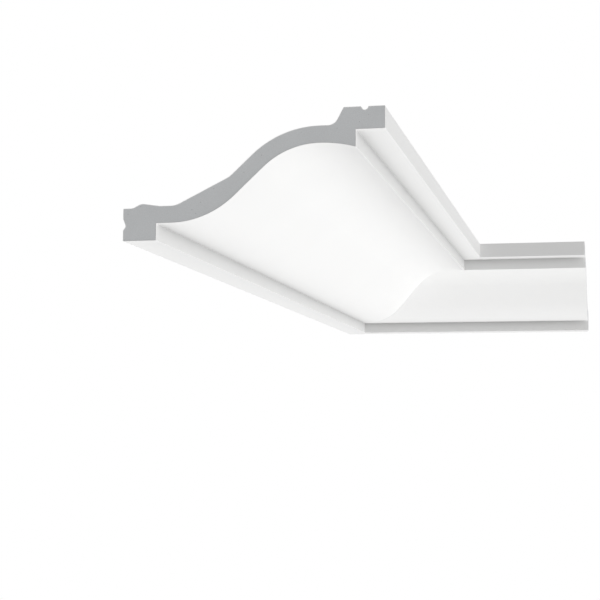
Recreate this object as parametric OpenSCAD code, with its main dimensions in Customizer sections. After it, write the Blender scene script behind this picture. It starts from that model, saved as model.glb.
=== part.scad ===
// Hollow-backed ogee cornice: two lengths of one moulded section, mitred into an
// inside corner.
//
// Frame: the corner of the two walls runs up Z through the origin. The wall behind the
// long run is the plane x = 0, the wall behind the short run is the plane y = 0, and the
// room lies towards +X and -Y. The undersides of the wall feet are at z = 0 and the
// ceiling is at z = drop.

/* [Lengths] */
// Length of the long run, along its wall from the room corner to the cut end
long_len = 1110; // [500:10:2400]
// Length of the short run, along its wall from the room corner to the cut end
short_len = 376; // [320:1:2400]

/* [Section] */
// How far the moulding stands out along the ceiling
projection = 230; // [185:1:300]
// How far the moulding comes down the wall
drop = 110; // [88:1:150]
// Thickness of the foam behind the shelf and the ogee
shell_t = 15; // [10:0.5:18]

/* [Wall foot] */
// Width of the square foot under the shelf, out from the wall
foot_w = 30; // [20:1:40]
// Height of the square foot, from its underside to the shelf
foot_h = 15; // [10:0.5:20]
// Width of the flat shelf between the foot and the ogee
shelf_w = 13; // [5:1:25]
// Height of the face that is glued to the wall
wall_face_h = 28.5; // [22:0.5:34]

/* [Ceiling lip] */
// Width of the square lip beyond the fillet, along the ceiling
lip_w = 25; // [12:1:40]
// Height of the lip
lip_h = 19.5; // [14:0.5:26]
// Height of the upright fillet between the ogee and the lip
fillet_h = 15; // [8:0.5:20]
// Width of the face that is glued to the ceiling
ceiling_face_w = 35.5; // [28:0.5:45]

/* [Ogee] */
// Steepness of the ogee's middle, as a multiple of the angle from its start to its crown
ogee_swing = 1.62; // [1.3:0.01:1.85]
// Share of the two ogee radii that the lobe takes, the rest being the cove's
lobe_share = 0.54; // [0.4:0.01:0.65]
// Width of the cove's tail, from its crown to the fillet
tail_w = 32; // [20:1:45]
// Drop of the cove's tail below its crown
tail_drop = 4.5; // [2:0.5:8]

/* [Back] */
// Width of the flat ledge on top of the wall face
ledge_w = 8.5; // [5:0.5:12]
// Distance of the low rib from the wall
rib_x = 16.5; // [15:0.5:20]
// Height of the low rib above the ledge
rib_h = 4; // [2:0.5:5]
// How far the back stays level past the end of the shelf
level_extra = 4; // [0:1:10]
// How far up the straight middle of the ogee the back's soft corner lies
corner_run = 8; // [4:1:14]
// Steepness of the slanted back under the ceiling face, in degrees
slant = 62; // [50:1:75]

/* [Adhesive channels] */
// Width of the channel in the ceiling face
ceiling_channel_w = 6.5; // [4:0.5:10]
// Depth of the channel in the ceiling face
ceiling_channel_d = 3; // [1.5:0.5:6]
// Distance from the lip's front to the middle of the ceiling channel
ceiling_channel_x = 17.5; // [10:0.5:22]
// Height of the channel in the wall face
wall_channel_h = 10; // [6:0.5:14]
// Depth of the channel in the wall face, before its bed is rounded
wall_channel_d = 2.5; // [1.5:0.5:5]
// Distance from the underside to the wall channel's lower edge
wall_channel_z = 9.5; // [5:0.5:12]

/* [Hidden] */

// Widest gap between an arc and the chords that stand for it
arc_gap = 0.02;

// Radii of the soft corners along the back and the channels
ledge_round = 8;
rib_round = 8;
level_round = 18;
corner_round = 22;
seat_round = 9;
channel_round = 2.5;

// How far the mitre's cutting shape runs past the moulding
overcut = 5;

// Key points of the room side
ogee_start = [foot_w + shelf_w, foot_h];
fillet_x = projection - lip_w;
lip_z = drop - lip_h;
tail_end = [fillet_x, lip_z - fillet_h];
crown = tail_end + [-tail_w, tail_drop];

// The lobe leaves the shelf level, the cove reaches its crown level, and one straight
// stretch is tangent to both
reach = crown.x - ogee_start.x;
rise = crown.y - ogee_start.y;
slope = ogee_swing * atan(rise / reach);
radii = (reach * sin(slope) - rise * cos(slope)) / (1 - cos(slope));
lobe_r = lobe_share * radii;
cove_r = radii - lobe_r;
lobe_centre = ogee_start + [0, lobe_r];
cove_centre = crown - [0, cove_r];
uphill = [cos(slope), sin(slope)];
backward = [-sin(slope), cos(slope)];

// The tail leaves the crown level and falls to the fillet
tail_r = (tail_w * tail_w + tail_drop * tail_drop) / (2 * tail_drop);
tail_turn = asin(tail_w / tail_r);

// Key points of the back
ledge_end = [ledge_w, wall_face_h];
rib_top = [rib_x, wall_face_h + rib_h];
level_start = [foot_w + 3, foot_h + shell_t];
level_end = ogee_start + [level_extra, shell_t];
back_corner = lobe_centre - lobe_r * backward + corner_run * uphill + shell_t * backward;
back_cove_start = cove_centre + (cove_r + shell_t) * backward;
back_crown = crown + [0, shell_t];
seat_top = [projection - ceiling_face_w, drop];
seat_foot = [seat_top.x - (drop - back_crown.y) / tan(slant), back_crown.y];

// Key points of the wall channel, whose lower side is twice as steep as its upper side
channel_top = [0, wall_channel_z + wall_channel_h];
channel_bed = [wall_channel_d, wall_channel_z + wall_channel_h / 3];
channel_foot = [0, wall_channel_z];

function unit(v) = v / norm(v);

// Points along an arc of radius r around c, from angle a to angle b
function arc(c, r, a, b) =
    let (steps = max(2, ceil(abs(b - a) / (2 * acos(1 - arc_gap / r)))))
    [for (i = [0:steps]) let (t = a + (b - a) * i / steps) c + r * [cos(t), sin(t)]];

// All points of a list but its first
function rest(points) = [for (i = [1:len(points) - 1]) points[i]];

// Points that round the corner at v, between p and q, with radius r
function rounded(p, v, q, r) =
    let (
        back = unit(p - v),
        ahead = unit(q - v),
        half = acos(back * ahead) / 2,
        centre = v + r / sin(half) * unit(back + ahead),
        start = v + r / tan(half) * back - centre,
        a = atan2(start.y, start.x),
        turn = sign(cross(ahead, back)) * (180 - 2 * half)
    )
    arc(centre, r, a, a + turn);

// Points round the channel in the ceiling face, one arc from the lip's side to the wall's
function ceiling_channel() =
    let (
        half = ceiling_channel_w / 2,
        r = (half * half + ceiling_channel_d * ceiling_channel_d) / (2 * ceiling_channel_d),
        lift = r - ceiling_channel_d,
        edge = asin(lift / r)
    )
    arc([projection - ceiling_channel_x, drop + lift], r, -edge, edge - 180);

// The room side, from the foot at the wall to the lip at the ceiling
room_side = concat(
    [[0, 0], [foot_w, 0], [foot_w, foot_h]],
    arc(lobe_centre, lobe_r, -90, slope - 90),
    arc(cove_centre, cove_r, slope + 90, 90),
    rest(arc(crown - [0, tail_r], tail_r, 90, 90 - tail_turn)),
    [[fillet_x, lip_z], [projection, lip_z], [projection, drop]]
);

// The back, from the ceiling face down to the wall face
back_side = concat(
    ceiling_channel(),
    [seat_top],
    rounded(seat_top, seat_foot, back_crown, seat_round),
    arc(cove_centre, cove_r + shell_t, 90, slope + 90),
    rounded(back_cove_start, back_corner, level_end, corner_round),
    rounded(back_corner, level_end, level_start, level_round),
    [level_start],
    rounded(level_start, rib_top, ledge_end, rib_round),
    rounded(rib_top, ledge_end, [0, wall_face_h], ledge_round),
    [[0, wall_face_h], channel_top],
    rounded(channel_top, channel_bed, channel_foot, channel_round),
    [channel_foot]
);

// One length along the wall x = 0, mitred at the room corner and square at its cut end
module run(len) {
    past = projection + overcut;
    difference() {
        rotate([90, 0, 0])
            linear_extrude(len)
                polygon(concat(room_side, back_side));
        translate([0, 0, -overcut])
            linear_extrude(drop + 2 * overcut)
                polygon([[-overcut, overcut], [past, -past], [past, overcut]]);
    }
}

module long_run() {
    color("whitesmoke") run(long_len);
}

module short_run() {
    color("whitesmoke") mirror([1, 1, 0]) run(short_len);
}

long_run();
short_run();
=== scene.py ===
import math

import bmesh
import bpy
from mathutils import Matrix, Vector


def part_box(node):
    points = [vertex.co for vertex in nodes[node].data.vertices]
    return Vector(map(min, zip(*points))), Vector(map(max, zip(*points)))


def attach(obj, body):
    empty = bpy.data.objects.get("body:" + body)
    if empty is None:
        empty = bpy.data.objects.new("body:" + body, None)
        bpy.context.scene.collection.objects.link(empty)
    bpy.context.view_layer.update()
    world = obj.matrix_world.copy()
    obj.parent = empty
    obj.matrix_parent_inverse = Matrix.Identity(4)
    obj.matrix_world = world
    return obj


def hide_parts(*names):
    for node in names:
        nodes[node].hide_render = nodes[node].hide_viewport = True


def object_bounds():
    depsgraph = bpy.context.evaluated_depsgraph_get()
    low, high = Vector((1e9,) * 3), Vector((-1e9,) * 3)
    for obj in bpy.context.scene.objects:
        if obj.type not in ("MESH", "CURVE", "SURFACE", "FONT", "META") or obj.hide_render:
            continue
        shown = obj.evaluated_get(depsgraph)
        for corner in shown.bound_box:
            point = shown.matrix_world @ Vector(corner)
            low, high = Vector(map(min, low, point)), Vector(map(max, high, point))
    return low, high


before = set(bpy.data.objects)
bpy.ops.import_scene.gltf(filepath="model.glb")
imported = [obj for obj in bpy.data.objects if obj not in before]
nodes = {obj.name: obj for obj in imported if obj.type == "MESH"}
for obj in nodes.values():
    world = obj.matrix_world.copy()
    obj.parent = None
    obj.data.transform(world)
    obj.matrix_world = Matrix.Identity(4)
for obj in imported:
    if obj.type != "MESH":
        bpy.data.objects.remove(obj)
cadLow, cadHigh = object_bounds()
print("frame loaded:", ", ".join(sorted(nodes)))

noiseLow, noiseHigh = 0.3, 0.7  # nearly all of a noise pattern's values lie between these
bowlFloor = 0.6                 # share of a pore's radius that is its flat bottom


def makeActive(item):
    bpy.ops.object.select_all(action="DESELECT")
    item.select_set(True)
    bpy.context.view_layer.objects.active = item


def feed(tree, node, inputs):
    # an input is a plain value, or another node's output, which is linked to it
    for name, value in inputs.items():
        if isinstance(value, bpy.types.NodeSocket):
            tree.links.new(value, node.inputs[name])
        else:
            node.inputs[name].default_value = value


def addNode(tree, kind, place, inputs=None, **settings):
    made = tree.nodes.new(kind)
    made.location = place
    for name, value in settings.items():
        setattr(made, name, value)
    feed(tree, made, inputs or {})
    return made


def addMath(tree, place, operation, first, second=0.0):
    made = addNode(tree, "ShaderNodeMath", place, {0: first, 1: second}, operation=operation)
    return made.outputs[0]


def addDarkening(tree, place, color, mask, amount):
    # the colour loses this amount of itself where the mask is full
    x, y = place
    loss = addMath(tree, (x, y), "MULTIPLY", mask, amount)
    rest = addMath(tree, (x + 160, y), "SUBTRACT", 1.0, loss)
    made = addNode(tree, "ShaderNodeVectorMath", (x + 320, y), {0: color, "Scale": rest},
                   operation="SCALE")
    return made.outputs["Vector"]


def addNearness(tree, place, distance, reach):
    # 1 at no distance, fading away over the reach
    x, y = place
    reaches = addMath(tree, (x, y), "DIVIDE", distance, reach)
    fall = addMath(tree, (x, y - 160), "MULTIPLY", reaches, -1.0)
    return addMath(tree, (x, y - 320), "EXPONENT", fall)


def newGroup(name, inputs, outputs):
    tree = bpy.data.node_groups.new(name, "ShaderNodeTree")
    for label, kind, value in inputs:
        socket = tree.interface.new_socket(label, in_out="INPUT", socket_type=kind)
        if value is not None:
            socket.default_value = value
    for label, kind in outputs:
        tree.interface.new_socket(label, in_out="OUTPUT", socket_type=kind)
    start = addNode(tree, "NodeGroupInput", (-900, 0))
    end = addNode(tree, "NodeGroupOutput", (700, 0))
    return tree, start.outputs, end


def makeToneDrift():
    # slow, faint change of tone over the surface
    tree, start, end = newGroup(
        "toneDrift",
        [("Vector", "NodeSocketVector", None),
         ("Color", "NodeSocketColor", (0.8, 0.8, 0.8, 1)),
         ("Scale", "NodeSocketFloat", 9.0),
         ("Amount", "NodeSocketFloat", 0.03)],
        [("Color", "NodeSocketColor")])
    noise = addNode(tree, "ShaderNodeTexNoise", (-600, 100),
                    {"Vector": start["Vector"], "Scale": start["Scale"],
                     "Detail": 4.0, "Roughness": 0.55})
    spread = addNode(tree, "ShaderNodeMapRange", (-380, 100),
                     {"Value": noise.outputs["Fac"], "From Min": noiseLow, "From Max": noiseHigh})
    feed(tree, end, {"Color": addDarkening(tree, (-160, 0), start["Color"],
                                           spread.outputs["Result"], start["Amount"])})
    return tree


def makeSprayedSkin():
    # height of a sprayed coat: soft orange peel with a finer grit on it
    tree, start, end = newGroup(
        "sprayedSkin",
        [("Vector", "NodeSocketVector", None),
         ("Peel Scale", "NodeSocketFloat", 420.0),
         ("Grit Scale", "NodeSocketFloat", 1900.0),
         ("Grit Share", "NodeSocketFloat", 0.35)],
        [("Height", "NodeSocketFloat"), ("Grit", "NodeSocketFloat")])
    peel = addNode(tree, "ShaderNodeTexNoise", (-600, 200),
                   {"Vector": start["Vector"], "Scale": start["Peel Scale"],
                    "Detail": 2.0, "Roughness": 0.45})
    grit = addNode(tree, "ShaderNodeTexNoise", (-600, -100),
                   {"Vector": start["Vector"], "Scale": start["Grit Scale"],
                    "Detail": 3.0, "Roughness": 0.6})
    gritRise = addMath(tree, (-340, -100), "MULTIPLY", grit.outputs["Fac"], start["Grit Share"])
    feed(tree, end, {"Height": addMath(tree, (-120, 60), "ADD", peel.outputs["Fac"], gritRise),
                     "Grit": grit.outputs["Fac"]})
    return tree


def makePaintedCornerShade():
    # painted shade: grey along the two inner corners of the section, on either run, standing for the
    # shade there, and fading towards the sawn ends
    tree, start, end = newGroup(
        "paintedCornerShade",
        [("Vector", "NodeSocketVector", None),
         ("Color", "NodeSocketColor", (0.8, 0.8, 0.8, 1)),
         ("Foot Corner", "NodeSocketVector", (0.0, 0.0, 0.0)),
         ("Lip Corner", "NodeSocketVector", (0.0, 0.0, 0.0)),
         ("Sawn Ends", "NodeSocketVector", (0.0, 0.0, 0.0)),
         ("Reach", "NodeSocketFloat", 0.008),
         ("End Reach", "NodeSocketFloat", 0.008),
         ("Amount", "NodeSocketFloat", 0.3)],
        [("Color", "NodeSocketColor")])
    parts = addNode(tree, "ShaderNodeSeparateXYZ", (-740, 200), {0: start["Vector"]}).outputs
    fromShortWall = addMath(tree, (-580, 120), "MULTIPLY", parts["Y"], -1.0)
    outward = addMath(tree, (-420, 200), "MINIMUM", parts["X"], fromShortWall)
    section = addNode(tree, "ShaderNodeCombineXYZ", (-260, 200), {"X": outward, "Z": parts["Z"]})
    footAway = addNode(tree, "ShaderNodeVectorMath", (-100, 260),
                       {0: section.outputs[0], 1: start["Foot Corner"]}, operation="DISTANCE")
    lipAway = addNode(tree, "ShaderNodeVectorMath", (-100, 100),
                      {0: section.outputs[0], 1: start["Lip Corner"]}, operation="DISTANCE")
    nearest = addMath(tree, (60, 200), "MINIMUM", footAway.outputs["Value"], lipAway.outputs["Value"])
    cornerNearness = addNearness(tree, (60, 40), nearest, start["Reach"])
    ends = addNode(tree, "ShaderNodeSeparateXYZ", (-740, -200), {0: start["Sawn Ends"]}).outputs
    fromShortEnd = addMath(tree, (-580, -120), "SUBTRACT", ends["X"], parts["X"])
    fromLongEnd = addMath(tree, (-580, -280), "SUBTRACT", parts["Y"], ends["Y"])
    fromEnd = addMath(tree, (-420, -200), "MINIMUM", fromShortEnd, fromLongEnd)
    endNearness = addNearness(tree, (-260, -200), fromEnd, start["End Reach"])
    clearOfEnd = addMath(tree, (-100, -200), "SUBTRACT", 1.0, endNearness)
    # the painted shade lies where a corner is near and a sawn end is not
    paintedShadeMask = addMath(tree, (220, -160), "MULTIPLY", cornerNearness, clearOfEnd)
    feed(tree, end, {"Color": addDarkening(tree, (220, 0), start["Color"], paintedShadeMask, start["Amount"])})
    return tree


def makePoreField():
    # scattered round pores of mixed size: most cells of the pattern stay empty
    tree, start, end = newGroup(
        "poreField",
        [("Vector", "NodeSocketVector", None),
         ("Scale", "NodeSocketFloat", 120.0),
         ("Share", "NodeSocketFloat", 0.2),
         ("Size", "NodeSocketFloat", 0.25)],
        [("Mask", "NodeSocketFloat")])
    cells = addNode(tree, "ShaderNodeTexVoronoi", (-700, 120),
                    {"Vector": start["Vector"], "Scale": start["Scale"], "Randomness": 0.9})
    chance = addNode(tree, "ShaderNodeSeparateColor", (-520, 240), {0: cells.outputs["Color"]}).outputs
    chosen = addMath(tree, (-340, 280), "LESS_THAN", chance["Red"], start["Share"])
    radius = addMath(tree, (-340, 100), "MULTIPLY", chance["Green"], start["Size"])
    outness = addMath(tree, (-180, 20), "DIVIDE", cells.outputs["Distance"], radius)
    bowl = addNode(tree, "ShaderNodeMapRange", (0, 40),
                   {"Value": outness, "From Min": bowlFloor, "From Max": 1.0,
                    "To Min": 1.0, "To Max": 0.0},
                   interpolation_type="SMOOTHSTEP")
    feed(tree, end, {"Mask": addMath(tree, (240, 120), "MULTIPLY", chosen, bowl.outputs["Result"])})
    return tree


toneDrift = makeToneDrift()
sprayedSkin = makeSprayedSkin()
paintedCornerShade = makePaintedCornerShade()
poreField = makePoreField()


# the square foot and lip meet the curve in two inner corners, where shade is painted into the colour
squares = {"footWidth": 0.030, "footHeight": 0.015, "lipWidth": 0.025, "lipHeight": 0.0195}
_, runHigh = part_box("long_run")
footCorner = (squares["footWidth"], 0, squares["footHeight"])
lipCorner = (runHigh[0] - squares["lipWidth"], 0, runHigh[2] - squares["lipHeight"])
sawnEnds = (cadHigh[0], cadLow[1], 0)  # x of the short run's end, y of the long run's

# depth and the reaches are in metres, poreDepth is a multiple of depth, a pore's size is a
# share of its cell, and a higher scale gives a finer pattern
primer = {
    "color": (0.855, 0.855, 0.85, 1),
    "drift": 0.012, "driftScale": 7.0,
    "roughLow": 0.5, "roughHigh": 0.62, "specular": 0.35,
    "peelScale": 420.0, "gritScale": 1900.0, "gritShare": 0.35,
    "depth": 0.00004,
    # painted shade along the inner corners: how dark, how far it reaches, and how it fades near the sawn
    # ends
    "cornerReach": 0.008, "paintedShadeAmount": 0.38, "endReach": 0.008,
}

castBack = {
    "color": (0.80, 0.80, 0.785, 1),
    "drift": 0.035, "driftScale": 22.0,
    "roughLow": 0.62, "roughHigh": 0.8, "specular": 0.35,
    "peelScale": 160.0, "gritScale": 900.0, "gritShare": 0.6,
    "depth": 0.0002,
    "poreScale": 90.0, "poreShare": 0.14, "poreSize": 0.2, "poreDepth": 3.0, "poreShade": 0.14,
}

cutFoam = {
    "color": (0.718, 0.732, 0.742, 1),
    "drift": 0.04, "driftScale": 40.0,
    "cellScale": 1700.0, "cellDark": 0.1,
    "cellMiddle": 0.1, "cellWall": 0.6,  # a cell's hollow rises from its middle to its wall
    "strokeScale": 900.0, "strokeStretch": (1.0, 1.0, 0.04), "strokeShare": 0.35,
    "poreScale": 260.0, "poreShare": 0.12, "poreSize": 0.3, "poreShade": 0.22, "poreDepth": 2.0,
    "roughness": 0.85, "specular": 0.35,
    "depth": 0.00003,
}


def startMaterial(name):
    made = bpy.data.materials.new(name)
    made.use_nodes = True
    tree = made.node_tree
    tree.nodes.clear()
    surface = addNode(tree, "ShaderNodeBsdfPrincipled", (380, 0))
    addNode(tree, "ShaderNodeOutputMaterial", (700, 0), {"Surface": surface.outputs["BSDF"]})
    place = addNode(tree, "ShaderNodeTexCoord", (-900, 0)).outputs["Object"]
    return made, tree, surface, place


def addTone(tree, place, look):
    made = addNode(tree, "ShaderNodeGroup", (-700, 260), node_tree=toneDrift)
    feed(tree, made, {"Vector": place, "Color": look["color"],
                      "Scale": look["driftScale"], "Amount": look["drift"]})
    return made.outputs["Color"]


def addPores(tree, place, look, color, height):
    # pores shade the colour and sink below the surface round them
    made = addNode(tree, "ShaderNodeGroup", (-700, -480), node_tree=poreField)
    feed(tree, made, {"Vector": place, "Scale": look["poreScale"],
                      "Share": look["poreShare"], "Size": look["poreSize"]})
    mask = made.outputs["Mask"]
    sunk = addMath(tree, (-460, -480), "MULTIPLY", mask, look["poreDepth"])
    lowered = addMath(tree, (-300, -380), "SUBTRACT", height, sunk)
    return addDarkening(tree, (-200, 440), color, mask, look["poreShade"]), lowered


def addRelief(tree, look, height):
    made = addNode(tree, "ShaderNodeBump", (180, -250),
                   {"Strength": 1.0, "Distance": look["depth"], "Height": height})
    return made.outputs["Normal"]


def coatedMaterial(name, look):
    made, tree, surface, place = startMaterial(name)
    color = addTone(tree, place, look)
    skin = addNode(tree, "ShaderNodeGroup", (-700, -160), node_tree=sprayedSkin)
    feed(tree, skin, {"Vector": place, "Peel Scale": look["peelScale"],
                      "Grit Scale": look["gritScale"], "Grit Share": look["gritShare"]})
    height = skin.outputs["Height"]
    # painted shade darkens the colour along the inner corners
    if "paintedShadeAmount" in look:
        paintedShadeNode = addNode(tree, "ShaderNodeGroup", (-460, 260), node_tree=paintedCornerShade)
        feed(tree, paintedShadeNode, {"Vector": place, "Color": color, "Foot Corner": footCorner,
                           "Lip Corner": lipCorner, "Sawn Ends": sawnEnds,
                           "Reach": look["cornerReach"], "End Reach": look["endReach"],
                           "Amount": look["paintedShadeAmount"]})
        color = paintedShadeNode.outputs["Color"]
    if "poreShare" in look:
        color, height = addPores(tree, place, look, color, height)
    gloss = addNode(tree, "ShaderNodeMapRange", (-160, 0),
                    {"Value": skin.outputs["Grit"], "From Min": noiseLow, "From Max": noiseHigh,
                     "To Min": look["roughLow"], "To Max": look["roughHigh"]})
    feed(tree, surface, {"Base Color": color, "Roughness": gloss.outputs["Result"],
                         "Specular IOR Level": look["specular"],
                         "Normal": addRelief(tree, look, height)})
    return made


def sawnMaterial(name, look):
    # sawn through the foam: tiny open cells, a few bigger pores and the saw's upright strokes
    made, tree, surface, place = startMaterial(name)
    cells = addNode(tree, "ShaderNodeTexVoronoi", (-700, -60),
                    {"Vector": place, "Scale": look["cellScale"], "Randomness": 1.0})
    hollow = addNode(tree, "ShaderNodeMapRange", (-520, -60),
                     {"Value": cells.outputs["Distance"], "From Min": look["cellMiddle"],
                      "From Max": look["cellWall"], "To Min": 1.0, "To Max": 0.0}).outputs["Result"]
    stretch = addNode(tree, "ShaderNodeMapping", (-900, -260),
                      {"Vector": place, "Scale": look["strokeStretch"]})
    strokes = addNode(tree, "ShaderNodeTexNoise", (-700, -260),
                      {"Vector": stretch.outputs["Vector"], "Scale": look["strokeScale"], "Detail": 2.0})
    strokeRise = addMath(tree, (-520, -260), "MULTIPLY", strokes.outputs["Fac"], look["strokeShare"])
    height = addMath(tree, (-360, -200), "SUBTRACT", strokeRise, hollow)
    color = addDarkening(tree, (-460, 160), addTone(tree, place, look), hollow, look["cellDark"])
    color, height = addPores(tree, place, look, color, height)
    feed(tree, surface, {"Base Color": color, "Roughness": look["roughness"],
                         "Specular IOR Level": look["specular"],
                         "Normal": addRelief(tree, look, height)})
    return made


primerMaterial = coatedMaterial("primedFace", primer)
backMaterial = coatedMaterial("castBackSkin", castBack)
foamMaterial = sawnMaterial("sawnFoam", cutFoam)
finishes = [primerMaterial, backMaterial, foamMaterial]
print("finishes made")


meshWork = {
    "weldWithin": 0.00001,              # corners nearer than this are one
    "flatWithin": math.radians(0.2),    # faces that turn by less than this are one
    "straightFrom": 0.999,              # cosine from which two directions are the same
    "sharpFrom": math.radians(20),      # arrises turn by more than this
    "outerRound": 0.0006,               # softened outer arrises
    "innerRound": 0.0004,               # paint gathered in the inner corners
    "segments": 4,
    "backTurn": 0.02,                   # the back turns up and to the wall by more than this
    "endTurn": 0.5,                     # mitre and sawn end turn along the run by more than this
    "skin": 0.0003,                     # coat seen edge on round a sawn end, under the arris radius
    "skinProud": 0.00015,               # how far the coat stands past the bare foam
    "skinStep": 0.00006,                # width of the step down to the foam
    "smoothBelow": math.radians(32),    # edges that turn by more than this stay crisp
}

longMoulding = {
    "name": "long_moulding", "node": "long_run",
    "along": Vector((0, 1, 0)), "cutSide": Vector((0, -1, 0)), "intoRoom": Vector((1, 0, 0)),
}

shortMoulding = {
    "name": "short_moulding", "node": "short_run",
    "along": Vector((1, 0, 0)), "cutSide": Vector((1, 0, 0)), "intoRoom": Vector((0, -1, 0)),
}


def selectFaces(piece, wanted):
    bpy.ops.mesh.select_mode(type="FACE")
    bpy.ops.mesh.select_all(action="DESELECT")
    shape = bmesh.from_edit_mesh(piece.data)
    for face in shape.faces:
        face.select = wanted(face.normal)
    shape.select_flush_mode()
    bmesh.update_edit_mesh(piece.data)


def giveMaterial(piece, material):
    piece.active_material_index = finishes.index(material)
    bpy.ops.object.material_slot_assign()


def softenArrises(piece, along):
    # each lengthwise arris is rounded, but where a face beside it has no room for a rounding
    # on both its edges, as in the channels, it stays crisp
    shape = bmesh.from_edit_mesh(piece.data)
    weight = shape.edges.layers.float.new("bevel_weight_edge")
    innerShare = meshWork["innerRound"] / meshWork["outerRound"]
    for edge in shape.edges:
        span = edge.verts[1].co - edge.verts[0].co
        if abs(span.normalized().dot(along)) < meshWork["straightFrom"]:
            continue
        turn = edge.calc_face_angle_signed()
        room = min(face.calc_area() for face in edge.link_faces) / span.length
        if abs(turn) > meshWork["sharpFrom"] and room > 2 * meshWork["outerRound"]:
            edge[weight] = 1.0 if turn > 0 else innerShare
    bmesh.update_edit_mesh(piece.data)
    bpy.ops.object.mode_set(mode="OBJECT")
    rounding = piece.modifiers.new("arrisRounding", "BEVEL")
    rounding.width = meshWork["outerRound"]
    rounding.segments = meshWork["segments"]
    rounding.limit_method = "WEIGHT"
    rounding.use_clamp_overlap = False
    bpy.ops.object.modifier_apply(modifier=rounding.name)
    bpy.ops.object.mode_set(mode="EDIT")


def makeMoulding(run):
    piece = bpy.data.objects.new(run["name"], nodes[run["node"]].data.copy())
    piece.data.name = run["name"]
    bpy.context.scene.collection.objects.link(piece)
    piece.data.materials.clear()
    for material in finishes:
        piece.data.materials.append(material)
    makeActive(piece)
    bpy.ops.object.mode_set(mode="EDIT")
    bpy.ops.mesh.select_mode(type="VERT")
    bpy.ops.mesh.select_all(action="SELECT")
    bpy.ops.mesh.remove_doubles(threshold=meshWork["weldWithin"])
    bpy.ops.mesh.dissolve_limited(angle_limit=meshWork["flatWithin"])
    softenArrises(piece, run["along"])

    # the side against the wall and ceiling keeps the rougher skin of the mould
    selectFaces(piece, lambda normal: normal.z - normal.dot(run["intoRoom"]) > meshWork["backTurn"]
                and abs(normal.dot(run["along"])) < meshWork["endTurn"])
    giveMaterial(piece, backMaterial)

    # the sawn end shows bare foam, with the coat as a thin rim round it
    selectFaces(piece, lambda normal: normal.dot(run["cutSide"]) > meshWork["straightFrom"])
    bpy.ops.mesh.inset(thickness=meshWork["skin"], depth=0)
    bpy.ops.mesh.inset(thickness=meshWork["skinStep"], depth=-meshWork["skinProud"])
    giveMaterial(piece, foamMaterial)

    bpy.ops.mesh.select_all(action="SELECT")
    bpy.ops.mesh.normals_make_consistent(inside=False)
    bpy.ops.object.mode_set(mode="OBJECT")
    bpy.ops.object.shade_smooth_by_angle(angle=meshWork["smoothBelow"])
    weighted = piece.modifiers.new("evenShading", "WEIGHTED_NORMAL")
    weighted.keep_sharp = True
    bpy.ops.object.modifier_apply(modifier=weighted.name)
    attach(piece, "root")
    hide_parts(run["node"])
    print(run["name"], "made:", len(piece.data.polygons), "faces")


makeMoulding(longMoulding)
makeMoulding(shortMoulding)


whiteLook = {"color": (1, 1, 1, 1), "strength": 1.0}
floorLook = {"size": 20.0, "height": -1.6, "color": (0.86, 0.86, 0.86, 1),
             "lift": 0.3, "fadeFrom": 2.2, "fadeTo": 5.0}
worldLook = {"color": (1, 1, 1, 1), "ambient": 0.53}

# a broad even key from low on the right, and a softer lamp from the left at the back
keyLook = {"towards": (0.66, -0.14, -0.80), "strength": 1.83, "spread": 28.0}
highLook = {"place": (-2.0, 0.5, 1.15), "aim": (0.15, -0.5, 0.05), "size": 1.2, "power": 42.0}


def addSeen(tree, place, rays):
    # 1 for the rays that show the background: straight, mirrored or through glass
    x, y = place
    straight = addMath(tree, (x, y), "MAXIMUM", rays["Is Camera Ray"], rays["Is Glossy Ray"])
    return addMath(tree, (x + 180, y), "MAXIMUM", straight, rays["Is Transmission Ray"])


def makeFloor(look):
    # the floor keeps shadows, fades to white far off, and lets light and views through from below
    bpy.ops.object.select_all(action="DESELECT")
    bpy.ops.mesh.primitive_grid_add(x_subdivisions=2, y_subdivisions=2, size=look["size"],
                                    location=(0, 0, look["height"]))
    floor = bpy.context.object
    floor.name = "studio_floor"
    made = bpy.data.materials.new("paleFloor")
    made.use_nodes = True
    tree = made.node_tree
    tree.nodes.clear()
    rays = addNode(tree, "ShaderNodeLightPath", (-900, -100)).outputs
    seen = addSeen(tree, (-700, -60), rays)
    liftSeen = addMath(tree, (-340, -60), "MULTIPLY", seen, look["lift"])
    lift = addNode(tree, "ShaderNodeEmission", (-160, -60), {"Strength": liftSeen})
    paint = addNode(tree, "ShaderNodeBsdfDiffuse", (-160, 100), {"Color": look["color"]})
    lifted = addNode(tree, "ShaderNodeAddShader", (20, 60), {0: paint.outputs[0], 1: lift.outputs[0]})
    white = addNode(tree, "ShaderNodeEmission", (20, -160),
                    {"Color": whiteLook["color"], "Strength": whiteLook["strength"]})
    place = addNode(tree, "ShaderNodeTexCoord", (-900, -420)).outputs["Object"]
    away = addNode(tree, "ShaderNodeVectorMath", (-700, -420), {0: place}, operation="LENGTH")
    fade = addNode(tree, "ShaderNodeMapRange", (-520, -420),
                   {"Value": away.outputs["Value"],
                    "From Min": look["fadeFrom"], "From Max": look["fadeTo"]},
                   interpolation_type="SMOOTHSTEP")
    fadeSeen = addMath(tree, (-340, -420), "MULTIPLY", fade.outputs["Result"], seen)
    faded = addNode(tree, "ShaderNodeMixShader", (240, 0),
                    {"Fac": fadeSeen, 1: lifted.outputs[0], 2: white.outputs[0]})
    under = addNode(tree, "ShaderNodeNewGeometry", (20, 300)).outputs["Backfacing"]
    letThrough = addMath(tree, (240, 300), "MAXIMUM", under, rays["Is Shadow Ray"])
    clear = addNode(tree, "ShaderNodeBsdfTransparent", (240, -220))
    oneSided = addNode(tree, "ShaderNodeMixShader", (460, 0),
                       {"Fac": letThrough, 1: faded.outputs[0], 2: clear.outputs[0]})
    addNode(tree, "ShaderNodeOutputMaterial", (660, 0), {"Surface": oneSided.outputs[0]})
    floor.data.materials.append(made)


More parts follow.
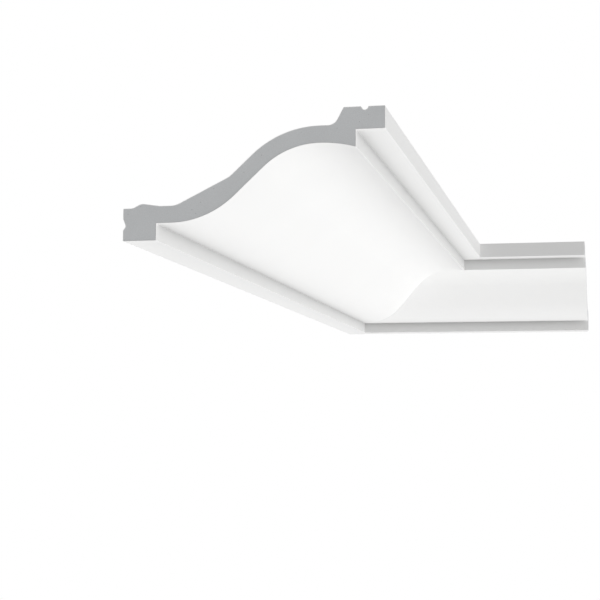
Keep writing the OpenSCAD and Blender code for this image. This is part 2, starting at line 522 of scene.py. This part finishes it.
def makeWorld(look):
    world = bpy.data.worlds.new("studioWorld")
    bpy.context.scene.world = world
    world.use_nodes = True
    tree = world.node_tree
    tree.nodes.clear()
    rays = addNode(tree, "ShaderNodeLightPath", (-400, 200)).outputs
    seen = addSeen(tree, (-180, 200), rays)
    soft = addNode(tree, "ShaderNodeBackground", (200, 0),
                   {"Color": look["color"], "Strength": look["ambient"]})
    white = addNode(tree, "ShaderNodeBackground", (200, -200),
                    {"Color": whiteLook["color"], "Strength": whiteLook["strength"]})
    choose = addNode(tree, "ShaderNodeMixShader", (460, 0),
                     {"Fac": seen, 1: soft.outputs[0], 2: white.outputs[0]})
    addNode(tree, "ShaderNodeOutputWorld", (700, 0), {"Surface": choose.outputs[0]})


def addLamp(name, kind):
    data = bpy.data.lights.new(name, kind)
    lamp = bpy.data.objects.new(name, data)
    bpy.context.scene.collection.objects.link(lamp)
    return lamp, data


def makeKey(look):
    lamp, data = addLamp("lowKey", "SUN")
    data.energy = look["strength"]
    data.angle = math.radians(look["spread"])
    lamp.rotation_euler = Vector(look["towards"]).to_track_quat("Z", "Y").to_euler()


def makeHighLamp(look):
    lamp, data = addLamp("highBack", "AREA")
    data.shape = "DISK"
    data.size = look["size"]
    data.energy = look["power"]
    lamp.location = look["place"]
    facing = Vector(look["aim"]) - Vector(look["place"])
    lamp.rotation_euler = facing.to_track_quat("-Z", "Y").to_euler()
    lamp.visible_camera = False


makeFloor(floorLook)
makeWorld(worldLook)
makeKey(keyLook)
makeHighLamp(highLook)
print("floor, world and lamps made")


# below the moulding, looking along it and a little up: metres, degrees and millimetres
cameraLook = {"place": (0.4166, -2.3146, -0.1734), "turn": 12.14, "tilt": 5.551, "level": 0.269,
              "lens": 88.26, "sensor": 36.0, "clipStart": 0.01, "clipEnd": 100.0}


def makeCamera(look):
    data = bpy.data.cameras.new("studioCamera")
    data.lens = look["lens"]
    data.sensor_width = look["sensor"]
    data.clip_start = look["clipStart"]
    data.clip_end = look["clipEnd"]
    camera = bpy.data.objects.new("studioCamera", data)
    bpy.context.scene.collection.objects.link(camera)
    # unturned, a camera looks straight down: tipped up 90 degrees, it looks level
    aim = (Matrix.Rotation(math.radians(look["turn"]), 4, "Z")
           @ Matrix.Rotation(math.radians(90 + look["tilt"]), 4, "X")
           @ Matrix.Rotation(math.radians(look["level"]), 4, "Z"))
    camera.matrix_world = Matrix.Translation(look["place"]) @ aim
    bpy.context.scene.camera = camera


makeCamera(cameraLook)
bpy.context.scene.view_settings.view_transform = "Standard"
print("camera set")
